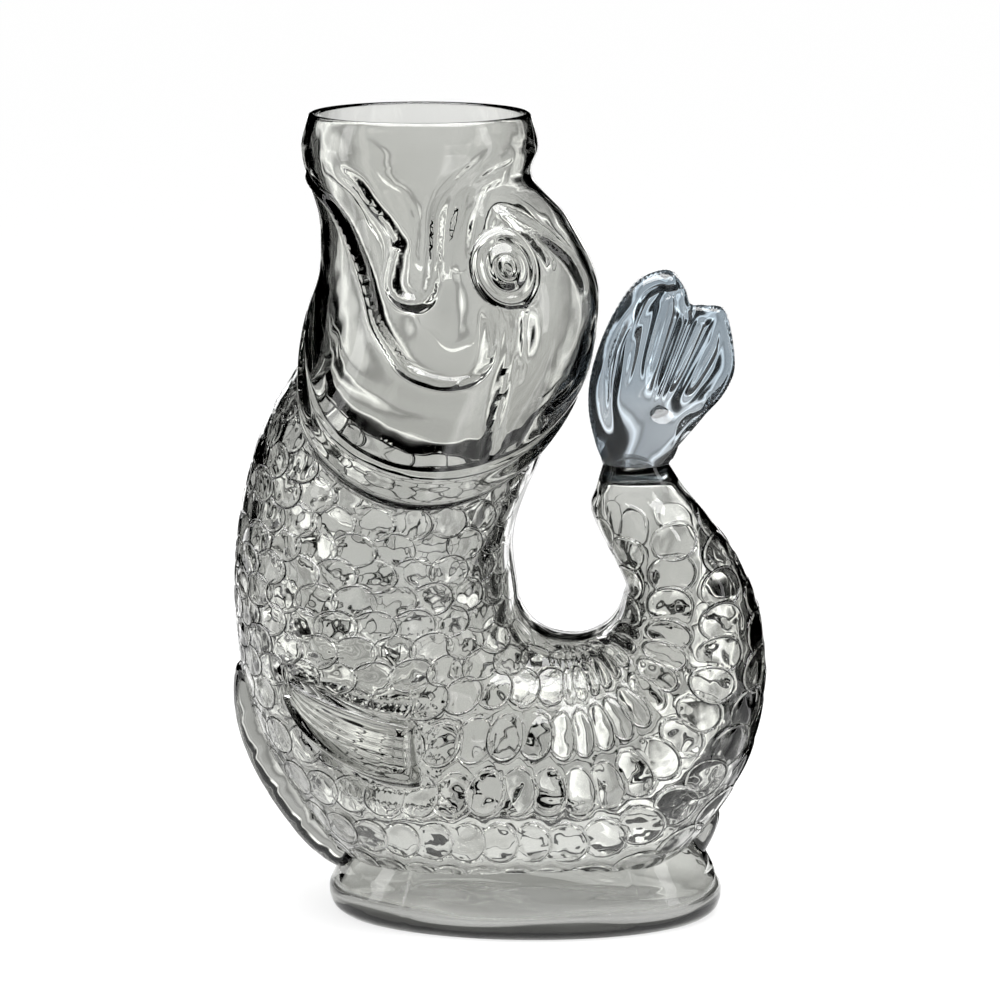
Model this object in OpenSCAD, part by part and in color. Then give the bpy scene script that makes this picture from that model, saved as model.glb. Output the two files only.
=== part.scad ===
// Gurgle jug: a hollow glass fish that stands on an oval foot. It pours from its open mouth,
// and its tail curls up behind to make the handle. A solid fin is fused onto the tail's end.
// The origin is the middle of the foot on the table, +X points to the tail, +Z up.

/* [Mouth] */
// Height of the rim above the table
jug_h = 240; // [220:1:260]
// Outside diameter of the round rim
mouth_d = 65; // [58:1:70]
// How far the mouth's middle stands to the belly side of the foot's middle
mouth_shift = 31; // [27:1:35]
// Height of the rolled lip
lip_h = 19; // [15:1:24]
// How far the rolled lip stands out past the rim
lip_out = 2.2; // [1:0.1:4]

/* [Body] */
// Greatest thickness, from flank to flank
body_w = 90; // [80:1:98]
// Reach of the belly from the middle of the finger loop
belly_reach = 100; // [96:1:104]
// How far the nape stands to the tail side of the foot's middle
nape_reach = 21.5; // [19:0.5:22.5]
// Thickness of the blown wall
wall = 3; // [2.4:0.1:4]

/* [Finger loop] */
// Radius of the loop's round bottom
loop_r = 15.3; // [13:0.1:17]
// How far the loop's middle stands to the tail side of the foot's middle
loop_shift = 13.5; // [12:0.5:15]
// Height of the loop's middle above the table
loop_z = 100; // [96:1:106]

/* [Tail] */
// Diameter of the tail's end, where the fin is fused on
tail_d = 20; // [17:0.5:23]
// Height of the tail's end above the table
tail_top = 137; // [132:1:142]
// How far the tail's end stands to the tail side of the foot's middle
tail_shift = 32.6; // [31:0.2:36]
// Thickness of the glass that closes the tail's end
tail_plug = 7; // [4:0.5:12]

/* [Tail fin] */
// Height of the fin's long lobe above the tail's end
fin_h = 58; // [50:1:64]
// Reach of the fin's side lobe from the tail's middle
fin_side = 52; // [44:1:56]
// Thickness of the fin's blade
fin_t = 9; // [6:0.5:12]
// Height of the ribs tooled into the blade
rib_h = 1.4; // [0.6:0.1:1.8]
// Ribs across the whole fan
ribs = 14; // [10:1:16]
// How far the two lobes cup forward
fin_cup = 6; // [0:0.5:9]
// Depth of the fold between the two lobes
fin_fold = 1.5; // [0.5:0.1:2]
// Depth of the scoop pressed into the front of the side lobe
fin_scoop = 2.4; // [0.5:0.1:3]

/* [Relief] */
// Step from one scale to the next along the fish
scale_l = 8; // [7:0.5:12]
// Columns of scales round the body
scales_round = 18; // [14:2:22]
// How far a scale stands out
scale_h = 1.3; // [0.6:0.1:1.5]
// Step down from the gill cover to the scales
gill_step = 2; // [1:0.1:3]
// Thickness of the ridges round the cheek and the lips
ridge_d = 4; // [3:0.1:5]
// Diameter of the ring round the eye
eye_d = 21; // [18:0.5:24]
// Diameter of the pupil
pupil_d = 7.5; // [6:0.5:10]
// How far the side fins stand out
side_fin_out = 2.6; // [1.6:0.1:3.6]
// How far the belly fin stands out
belly_fin_out = 8.5; // [5:0.5:10]
// How far the vent fin in front of the tail stands out
vent_fin_out = 7.5; // [5:0.5:9]

/* [Foot] */
// Length of the foot
foot_l = 118; // [108:1:124]
// Width of the foot
foot_w = 75; // [68:1:80]
// Height of the waist between the foot and the belly
foot_h = 15.5; // [13:0.5:18]
// How far the waist is drawn in from the foot's edge
waist_in = 3.2; // [2:0.1:5]
// Thickness of the floor
floor_t = 4; // [3:0.5:6]

/* [Hidden] */
SMOKE = [0.62, 0.63, 0.61];
BLUE_GREY = [0.46, 0.52, 0.56];
mouth_front = -mouth_shift - mouth_d / 2;
mouth_back = -mouth_shift + mouth_d / 2;
chest_front = loop_shift - belly_reach;
chest_back = loop_shift - loop_r;
head_h = jug_h - loop_z;
mid_w = body_w / 2;
// Trunk from the jaw to the shoulder: height over the loop, nape, belly and width, as shares of the full size
TRUNK = [
    [0.775, 0.63, -0.13, 0.78],
    [0.635, 1, -0.1, 0.89],
    [0.48, 0.87, 0.14, 0.97],
    [0.32, 0.42, 0.64, 1],
    [0.13, -0.03, 0.93, 1]];
// Belly round the loop: direction from the loop's middle, reach and width as shares of their full size
BELLY = [
    [185, 1, 0.98],
    [202, 1.025, 0.965],
    [218, 1.04, 0.95],
    [232, 1.06, 0.93],
    [250, 1.01, 0.91],
    [270, 0.94, 0.89],
    [288, 0.91, 0.84],
    [310, 0.775, 0.755],
    [330, 0.665, 0.645],
    [350, 0.575, 0.545],
    [370, 0.5, 0.445]];
// Gill cover: its lowest place on the flank along the fish, and how far its edge rises to the back and belly
gill_s = 0.815 * head_h;
gill_rise = 0.27 * head_h;
GILL_ANGLE = 68;
// Share of the head over which the gill cover swells up to its edge
GILL_SWELL = 0.4;

function share(a, b, t) = a + (b - a) * t;
function smooth(t) = let (k = max(0, min(1, t))) k * k * (3 - 2 * k);

// A station is the back and belly points of one section, then half its thickness
function trunk_station(t) =
    let (z = loop_z + t[0] * head_h)
    [share(chest_back, nape_reach, t[1]), z, share(mouth_front, chest_front, t[2]), z, t[3] * mid_w];
function belly_station(b) =
    let (u = [cos(b[0]), sin(b[0])], r = b[1] * belly_reach)
    [loop_shift + loop_r * u.x, loop_z + loop_r * u.y, loop_shift + r * u.x, loop_z + r * u.y, b[2] * mid_w];
function mouth_station(out, down) =
    [mouth_back + out, jug_h - down, mouth_front - out, jug_h - down, mouth_d / 2 + out];
// The tail leans back to the fish's head and draws in to its round end
tail_in = tail_shift - tail_d / 2;
tail_out = tail_shift + tail_d / 2;
tail_neck = tail_top - loop_z;
function tail_station(down, lean, swell) =
    [tail_in - lean, tail_top - down * tail_neck, tail_out + swell, tail_top - down * tail_neck,
        tail_d / 2 + (lean + swell) / 2];

stations = concat(
    [mouth_station(0, 0), mouth_station(lip_out, lip_h / 2), mouth_station(lip_out / 4, lip_h)],
    [for (t = TRUNK) trunk_station(t)],
    [for (b = BELLY) belly_station(b)],
    [tail_station(0.42, tail_d * 0.165, tail_d * 0.57), tail_station(0.2, tail_d * 0.105, tail_d * 0.245),
        tail_station(0, 0, 0)]);

// Smooth curve through the stations
function through(p, u) =
    let (n = len(p) - 1, i = min(floor(u), n - 1), t = u - i)
    let (a = p[max(i - 1, 0)], b = p[i], c = p[i + 1], d = p[min(i + 2, n)])
    b + 0.5 * t * (c - a + t * (2 * a - 5 * b + 4 * c - d + t * (3 * (b - c) + d - a)));
function middle(q) = [(q[0] + q[2]) / 2, (q[1] + q[3]) / 2];
// Length along the fish's middle line against the curve's own parameter
STEPS = 8;
fine = [for (k = [0 : STEPS * (len(stations) - 1)]) through(stations, k / STEPS)];
spine = [for (k = 0, s = 0; k < len(fine);
    s = s + (k + 1 < len(fine) ? norm(middle(fine[k + 1]) - middle(fine[k])) : 0), k = k + 1) [s, k / STEPS]];
fish_l = spine[len(spine) - 1][0];

// Point on the skin, s along the fish and a round it from the back, raised by lift
function skin(s, a, lift = 0) =
    let (q = through(stations, lookup(s, spine)), c = middle(q), h = [q[0] - q[2], q[1] - q[3]] / 2)
    let (r = 1 + lift / norm(h))
    [c.x + h.x * r * cos(a), -(q[4] + lift) * sin(a), c.y + h.y * r * cos(a)];
function outward(s, a) =
    let (n = cross(skin(s, a + 2) - skin(s, a - 2), skin(s + 1, a) - skin(s - 1, a))) n / norm(n);
function from_back(a) = a > 180 ? 360 - a : a;

// Rows follow the gill cover's edge where they pass it, and lie square to the fish elsewhere
function gill_pull(s) =
    pow(s < gill_s ? s / gill_s : max(0, gill_s + belly_reach - s) / belly_reach, 1.5);
function row(s, a) = s - gill_pull(s) * gill_rise * (1 - cos(from_back(a) - GILL_ANGLE));
function gill_lift(s) = s > gill_s ? 0 : gill_step * smooth(1 - (1 - s / gill_s) / GILL_SWELL);

// Scales in columns along the fish, each column half a scale behind the next
scale_rows = 2 * floor((fish_l - 2 * scale_l - gill_s) / scale_l);
// Rows over which the scales fade out towards the tail's end
FADE_ROWS = 8;
// Shares of a scale's height at its crown, at its root under the last scale, and between two columns
CROWN = 1;
ROOT = 0.4;
GROOVE = 0.1;
function scale_lift(k, j) =
    let (fade = smooth((scale_rows - k) / FADE_ROWS), at_crown = (k + j / 2) % 2 == 0)
    fade * scale_h * (j % 2 == 1 ? GROOVE : at_crown ? CROWN : ROOT);

// Closed solid through rings that have the same number of points each
module rings_solid(rings) {
    n = len(rings[0]);
    m = len(rings);
    points = [for (r = rings) for (p = r) p];
    sides = [for (i = [0 : m - 2]) for (j = [0 : n - 1])
        let (a = i * n + j, b = i * n + (j + 1) % n)
        each [[a, b + n, b], [a, a + n, b + n]]];
    ends = [[for (j = [0 : n - 1]) j], [for (j = [n - 1 : -1 : 0]) (m - 1) * n + j]];
    polyhedron(points, concat(sides, ends), convexity = 8);
}

// Outside of the fish: smooth head, then the step down from the gill cover, then scales
HEAD_ROWS = 15;
module fish_outside() {
    n = 2 * scales_round;
    head = [for (i = [0 : HEAD_ROWS]) [gill_s * i / HEAD_ROWS, -1]];
    scaled = [for (k = [0 : scale_rows]) [gill_s + scale_l / 8 + k * scale_l / 2, k]];
    end = [[fish_l, -1]];
    rings_solid([for (r = concat(head, scaled, end)) [for (j = [0 : n - 1])
        let (a = 360 * j / n, lift = r[1] < 0 ? gill_lift(r[0]) : scale_lift(r[1], j))
        skin(row(r[0], a), a, lift)]]);
}

// Inside of the fish, open through the mouth and closed before the tail's end
INSIDE_ROWS = 30;
INSIDE_SIDES = 28;
module fish_inside() {
    angles = [for (j = [0 : INSIDE_SIDES - 1]) 360 * j / INSIDE_SIDES];
    inside_l = fish_l - tail_plug;
    rows = [for (i = [0 : INSIDE_ROWS]) [for (a = angles) skin(inside_l * i / INSIDE_ROWS, a, -wall)]];
    rings_solid(concat([[for (p = rows[0]) p + [0, 0, wall]]], rows));
}

// The foot's side from the table up into the belly: height and inset from the edge, as shares of the waist's
FOOT_SIDE = [[0, 1.06], [0.12, 0.375], [0.32, 0.03], [0.5, 0], [0.75, 0.5], [1, 1], [1.75, 3]];
FOOT_SIDES = 44;
module foot_solid(inset, bottom) {
    all = [for (p = FOOT_SIDE) [p[0] * foot_h, p[1] * waist_in + inset]];
    side = [for (p = all) if (bottom == 0 || p[0] > bottom) p];
    levels = bottom == 0 ? side : concat([[bottom, side[0][1] + inset]], side);
    rings_solid([for (p = levels) [for (j = [0 : FOOT_SIDES - 1])
        let (a = 360 * j / FOOT_SIDES)
        [(foot_l / 2 - p[1]) * cos(a), (foot_w / 2 - p[1]) * sin(a), p[0]]]]);
}

// Closed solid between two grids of points, one above the other
module slab(over, under) {
    m = len(over) - 1;
    n = len(over[0]);
    size = len(over) * n;
    points = [for (g = [over, under]) for (r = g) for (p = r) p];
    skins = [for (i = [0 : m - 1]) for (j = [0 : n - 2])
        let (a = i * n + j, b = a + n)
        each [[a, b, b + 1], [a, b + 1, a + 1],
            [size + a, size + b + 1, size + b], [size + a, size + a + 1, size + b + 1]]];
    edge = concat(
        [for (j = [0 : n - 1]) j],
        [for (i = [1 : m]) i * n + n - 1],
        [for (j = [n - 2 : -1 : 0]) m * n + j],
        [for (i = [m - 1 : -1 : 1]) i * n]);
    walls = [for (k = [0 : len(edge) - 1])
        let (a = edge[k], b = edge[(k + 1) % len(edge)])
        each [[a, b, size + b], [a, size + b, size + a]]];
    polyhedron(points, concat(skins, walls), convexity = 6);
}

// A fin that grows out of the skin: place(p, q) gives its place [s, a], and rise(p, q) how far it stands out
module skin_fin(place, rise, along, across) {
    function sheet(lift) = [for (i = [0 : along]) [for (j = [0 : across])
        let (p = i / along, q = j / across, w = place(p, q)) skin(w[0], w[1], lift(p, q))]];
    slab(sheet(rise), sheet(function(p, q) -wall / 2));
}

// Side fin: a fan of rays that spreads from its root towards the tail
SIDE_FIN_ROOT = [0.456, 130];
SIDE_FIN_TOP = [0.521, 81];
SIDE_FIN_LOW = [0.572, 97];
SIDE_FIN_BOW = [-0.014, 7];
SIDE_FIN_RAYS = 6;
SIDE_FIN_STEPS = 7;
side_ray_h = side_fin_out / 5;
side_root_h = side_fin_out / 3;
module side_fin() {
    blunt = 0.12;
    skin_fin(
        function(p, q)
            let (tip = share(SIDE_FIN_TOP, SIDE_FIN_LOW, q), w = share(SIDE_FIN_ROOT, tip, max(p, blunt)))
            let (bow = 4 * p * (1 - p) * SIDE_FIN_BOW)
            [(w[0] + bow[0] * (1 - q)) * fish_l, w[1] + bow[1] * q],
        function(p, q)
            share(side_root_h, side_fin_out, smooth(3 * p)) + side_ray_h * cos(360 * SIDE_FIN_RAYS * q),
        SIDE_FIN_STEPS, 2 * SIDE_FIN_RAYS);
}

// Fin on the middle line under the fish, from start to end as shares of its length
BELLY_FIN = [0.455, 0.59];
BELLY_FIN_RAYS = 7;
VENT_FIN = [0.69, 0.765];
VENT_FIN_RAYS = 4;
KEEL_ANGLE = 9;
KEEL_STEPS = 6;
KEEL_RAY = 0.07;
module keel_fin(ends, out, rays) {
    skin_fin(
        function(p, q) [share(ends[0], ends[1], p) * fish_l, 180 + KEEL_ANGLE * (2 * q - 1)],
        function(p, q)
            let (round_top = sqrt(max(0, 1 - pow(2 * q - 1, 2))))
            out * round_top * sqrt(max(0, sin(180 * p))) * (1 + KEEL_RAY * cos(360 * rays * p)),
        2 * rays, KEEL_STEPS);
}

// Rounded ridge through places [s, a] on the skin, s as a share of the way to the gill cover
module ridge(path) {
    sunk = ridge_d / 5;
    for (k = [1 : len(path) - 1]) hull() for (w = [path[k - 1], path[k]])
        let (s = w[0] * gill_s)
        translate(skin(s, w[1], gill_lift(s) - sunk)) sphere(d = ridge_d, $fn = 6);
}
// Cheek ridge from the jaw round under the eye
CHEEK = [[0.165, 160], [0.225, 144], [0.34, 132], [0.465, 123], [0.575, 111.5], [0.63, 102.5], [0.66, 92],
    [0.665, 83], [0.65, 75.5], [0.61, 72], [0.49, 75]];
// Lips from the chin round the mouth's corner and up to the brow
LIPS = [[0.155, 122], [0.22, 114], [0.315, 108], [0.42, 113.5], [0.465, 105], [0.4, 95.5], [0.255, 86.5],
    [0.185, 75], [0.1, 57]];
NOSTRIL = [[0.45, 88], [0.53, 86.5]];
BROW = [[0.245, 51], [0.295, 42], [0.36, 30], [0.42, 26]];

// Eye: a ring, a low ball and a pupil that stand on the skin
EYE = [0.38, 64.5];
eye_ring_d = eye_d / 7;
EYE_FLAT = 0.4;
PUPIL_FLAT = 0.6;
module eye() {
    n = outward(EYE[0] * gill_s, EYE[1]);
    translate(skin(EYE[0] * gill_s, EYE[1])) rotate([0, acos(n.z), atan2(n.y, n.x)]) {
        rotate_extrude($fn = 20) translate([(eye_d - eye_ring_d) / 2, 0]) circle(d = eye_ring_d, $fn = 6);
        scale([1, 1, EYE_FLAT]) sphere(d = eye_d - 3 * eye_ring_d, $fn = 14);
        translate([0, 0, eye_ring_d]) scale([1, 1, PUPIL_FLAT]) sphere(d = pupil_d, $fn = 10);
    }
}

module face_relief() {
    ridge(CHEEK);
    ridge(LIPS);
    ridge(NOSTRIL);
    ridge(BROW);
    eye();
    side_fin();
}

module jug_body() {
    color(SMOKE) difference() {
        union() {
            fish_outside();
            foot_solid(0, 0);
            face_relief();
            mirror([0, 1, 0]) face_relief();
            keel_fin(BELLY_FIN, belly_fin_out, BELLY_FIN_RAYS);
            keel_fin(VENT_FIN, vent_fin_out, VENT_FIN_RAYS);
        }
        fish_inside();
        foot_solid(wall, floor_t);
    }
}

// The fin's outline from the head side over both lobes: angle from upright, and share of the lobe's length
LONG_LOBE = [[-43, 0.36], [-21, 0.6], [-7, 0.84], [1.5, 0.955], [9, 1], [15, 0.93], [18.5, 0.86]];
SIDE_LOBE = [[23, 0.98], [30, 1], [43, 0.815], [49, 0.69], [52.5, 0.52], [53, 0.39], [58, 0.3]];
fin_edge = concat(
    [for (p = LONG_LOBE) p[1] * fin_h * [sin(p[0]), cos(p[0])]],
    [for (p = SIDE_LOBE) p[1] * fin_side * [sin(p[0]), cos(p[0])]]);
FIN_RISE = [0, 0.12, 0.24, 0.38, 0.54, 0.7, 0.83, 0.92, 0.98, 1];
FIN_ACROSS = 56;
fin_rim = fin_t / 22;
// Shares of the fin's width and height over which its edge is rounded off, and of its height for the neck
SIDE_ROUND = 0.1;
TOP_ROUND = 0.14;
NECK = 0.4;
// Place of the fold across the fin and its width, as shares of the fin's width
FOLD = [0.49, 0.06];
// Middle of the scoop and its half width and height, as shares of the side lobe's reach
SCOOP = [0.175, 0.39];
SCOOP_SIZE = [0.12, 0.175];
function rounded(t) = let (k = min(1, t)) sqrt(1 - (1 - k) * (1 - k));
function bell(t) = exp(-t * t);
module tail_fin() {
    end_r = tail_d / 2;
    // Half thickness of the blade with its rounded ribs, less the fold and, in front, the scoop
    function blade_t(u, v, p, side) =
        let (ribbed = smooth(2 * v), folded = smooth(3 * v - 0.8), w = p / fin_side - SCOOP)
        fin_t / 2 + rib_h * (abs(sin(180 * ribs * u)) - 0.5) * ribbed
            - fin_fold * bell((u - FOLD[0]) / FOLD[1]) * folded
            - (side > 0 ? 0 : fin_scoop * bell(w.x / SCOOP_SIZE.x) * bell(w.y / SCOOP_SIZE.y));
    // Round at the tail's end, then the blade with its rounded edge
    function half_t(u, v, p, side) =
        let (x = 2 * u - 1, neck = end_r * sqrt(max(0, 1 - x * x)))
        let (round_edge = rounded(min(u, 1 - u) / SIDE_ROUND) * rounded((1 - v) / TOP_ROUND))
        max(fin_rim, share(neck, blade_t(u, v, p, side) * round_edge, smooth(v / NECK)));
    function blade(side) = [for (v = FIN_RISE) [for (j = [0 : FIN_ACROSS])
        let (u = j / FIN_ACROSS, top = through(fin_edge, u * (len(fin_edge) - 1)))
        let (foot = [-end_r * cos(180 * u), 0], p = share(foot, top, v))
        let (lean = -fin_cup * v * v * pow(2 * u - 1, 2), at = v == 0 ? (1 - cos(180 * u)) / 2 : u)
        [tail_shift + p.x, lean + side * half_t(at, v, p, side), tail_top + p.y]]];
    color(BLUE_GREY) slab(blade(-1), blade(1));
}

jug_body();
tail_fin();
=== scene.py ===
import math

import bmesh
import bpy
import numpy as np
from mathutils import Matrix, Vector


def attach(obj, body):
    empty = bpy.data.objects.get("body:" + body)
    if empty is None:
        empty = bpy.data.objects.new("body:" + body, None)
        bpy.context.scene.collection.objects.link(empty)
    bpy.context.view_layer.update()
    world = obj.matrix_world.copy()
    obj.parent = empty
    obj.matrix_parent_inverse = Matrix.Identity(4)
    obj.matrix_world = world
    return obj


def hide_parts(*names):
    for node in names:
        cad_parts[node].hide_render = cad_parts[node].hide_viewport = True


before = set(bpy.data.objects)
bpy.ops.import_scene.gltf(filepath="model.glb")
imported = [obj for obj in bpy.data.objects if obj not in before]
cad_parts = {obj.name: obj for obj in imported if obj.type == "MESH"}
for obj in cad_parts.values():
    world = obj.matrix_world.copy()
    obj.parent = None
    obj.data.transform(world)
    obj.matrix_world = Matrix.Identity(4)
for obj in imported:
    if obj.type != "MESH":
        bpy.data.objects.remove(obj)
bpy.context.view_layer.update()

# Fish skin: the outside of the blown fish as one loft from the round mouth, down the chest and round the
# finger loop to the tail's end. Sizes are in mm, as in the part's source; meshes are in metres.
MM = 0.001
JUG_H, MOUTH_D, MOUTH_X = 240.0, 65.0, -31.0
LIP_H, LIP_OUT = 19.0, 2.2
BODY_W, BELLY_REACH, NAPE_X = 90.0, 100.0, 21.5
LOOP_R, LOOP_X, LOOP_Z = 15.3, 13.5, 100.0
TAIL_D, TAIL_TOP, TAIL_X = 20.0, 137.0, 32.6
WALL, TAIL_PLUG, FINE_STEPS = 3.0, 7.0, 64
HEAD_H = JUG_H - LOOP_Z
# Trunk: height over the loop, nape, belly and width, as shares of the full size
TRUNK = [(0.775, 0.63, -0.13, 0.78), (0.635, 1, -0.1, 0.89), (0.48, 0.87, 0.14, 0.97),
         (0.32, 0.42, 0.64, 1), (0.13, -0.03, 0.93, 1)]
# Belly round the loop: angle in degrees, then reach and width as shares
BELLY = [(185, 1, 0.98), (202, 1.025, 0.965), (218, 1.04, 0.95), (232, 1.06, 0.93), (250, 1.01, 0.91),
         (270, 0.94, 0.89), (288, 0.91, 0.84), (310, 0.775, 0.755), (330, 0.665, 0.645), (350, 0.575, 0.545),
         (370, 0.5, 0.445)]
# Tail's end: way down to the loop, lean to the head, swell to the belly and extra width, as shares
TAIL = [(0.42, 0.165, 0.57, 0.64), (0.2, 0.105, 0.245, 0.2), (0, 0, 0, 0)]


def fish_sections():
    """Back x and z, belly x and z and half width of each section, from the mouth to the tail's end."""
    front, back = MOUTH_X - MOUTH_D / 2, MOUTH_X + MOUTH_D / 2
    chest_front, chest_back = LOOP_X - BELLY_REACH, LOOP_X - LOOP_R
    rows = []
    for out, down in ((0, 0), (LIP_OUT, LIP_H / 2), (LIP_OUT / 4, LIP_H)):
        rows.append((back + out, JUG_H - down, front - out, JUG_H - down, MOUTH_D / 2 + out))
    for up, nape, belly, width in TRUNK:
        z = LOOP_Z + up * HEAD_H
        rows.append((chest_back + (NAPE_X - chest_back) * nape, z, front + (chest_front - front) * belly, z,
                     width * BODY_W / 2))
    for angle, reach, width in BELLY:
        c, s, r = math.cos(math.radians(angle)), math.sin(math.radians(angle)), reach * BELLY_REACH
        rows.append((LOOP_X + LOOP_R * c, LOOP_Z + LOOP_R * s, LOOP_X + r * c, LOOP_Z + r * s,
                     width * BODY_W / 2))
    for down, lean, swell, deep in TAIL:
        z = TAIL_TOP - down * (TAIL_TOP - LOOP_Z)
        rows.append((TAIL_X - TAIL_D * (0.5 + lean), z, TAIL_X + TAIL_D * (0.5 + swell), z,
                     TAIL_D / 2 * (1 + deep)))
    return np.array(rows)


def through(points, u):
    """Smooth curve through points at the parameters u."""
    points, u = np.asarray(points, float), np.asarray(u, float)
    n = len(points) - 1
    i = np.minimum(u.astype(int), n - 1)
    t = (u - i)[..., None]
    a, b, c, d = points[np.maximum(i - 1, 0)], points[i], points[i + 1], points[np.minimum(i + 2, n)]
    return b + 0.5 * t * (c - a + t * (2 * a - 5 * b + 4 * c - d + t * (3 * (b - c) + d - a)))


def smooth(t):
    """Soft step from 0 to 1."""
    t = np.clip(t, 0, 1)
    return t * t * (3 - 2 * t)


SECTIONS = fish_sections()
FINE = np.linspace(0, len(SECTIONS) - 1, FINE_STEPS * (len(SECTIONS) - 1) + 1)
close_rows = through(SECTIONS, FINE)
SPINE = np.cumsum(np.hypot(*np.diff((close_rows[:, 0:2] + close_rows[:, 2:4]) / 2, axis=0, prepend=0).T))
SPINE = SPINE - SPINE[0]
FISH_L = SPINE[-1]


def skin(s, angle, lift=0.0):
    """Points s mm along the skin and angle degrees round it from the back, raised by lift mm."""
    q = through(SECTIONS, np.interp(s, SPINE, FINE))
    a = np.radians(angle)
    hx, hz = (q[..., 0] - q[..., 2]) / 2, (q[..., 1] - q[..., 3]) / 2
    grown = 1 + lift / np.hypot(hx, hz)
    return np.stack([(q[..., 0] + q[..., 2]) / 2 + hx * grown * np.cos(a), -(q[..., 4] + lift) * np.sin(a),
                     (q[..., 1] + q[..., 3]) / 2 + hz * grown * np.cos(a)], -1)


def from_back(angle):
    """Angle from the fish's back, the same on both flanks."""
    return 180 - np.abs(180 - np.mod(angle, 360))


# The gill cover's edge: rows of the skin follow it where they pass it, and lie square to the fish elsewhere.
GILL_S, GILL_RISE, GILL_ANGLE = 0.815 * HEAD_H, 0.27 * HEAD_H, 68.0
GILL_STEP, GILL_SWELL, GILL_GROOVE, GILL_EASE = 2.0, 0.4, 0.9, 1.5


def row(t, angle):
    """Place along the fish of the row t at an angle round it."""
    pull = np.where(t < GILL_S, t / GILL_S, np.maximum(0, GILL_S + BELLY_REACH - t) / BELLY_REACH)
    return t - pull ** GILL_EASE * GILL_RISE * (1 - np.cos(np.radians(from_back(angle) - GILL_ANGLE)))


# Scales: round plates of the same glass, pressed by the mould, that overlap like tiles in long chains, each
# chain half a scale behind the next. The same nodes give their height to the geometry tree that raises the
# skin and to the glass, whose bump adds the fine bead on their free edges and each scale's own slight tilt.
SCALE_H = 1.4
SCALE_HALF_L, SCALE_EDGE = 0.68, 0.84
SCALE_SLOPE, SCALE_CROWN, SCALE_DOME, SCALE_GROUND = 0.3, 0.34, 0.22, 0.25
SCALE_BEAD, BEAD_AT, BEAD_W, SCALE_TILT = 0.34, 0.87, 0.055, 1.5
SCALE_DATA = ("scale_along", "scale_across", "scale_half", "scale_cover")


def add(tree, kind, links=(), **settings):
    """New node with its settings; links gives its inputs as values, other nodes or their outputs."""
    node = tree.nodes.new(kind)
    for key, value in settings.items():
        setattr(node, key, value)
    for socket, value in dict(links).items():
        if isinstance(value, bpy.types.Node):
            value = value.outputs[0]
        if isinstance(value, bpy.types.NodeSocket):
            tree.links.new(value, node.inputs[socket])
        else:
            node.inputs[socket].default_value = value
    return node


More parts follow.
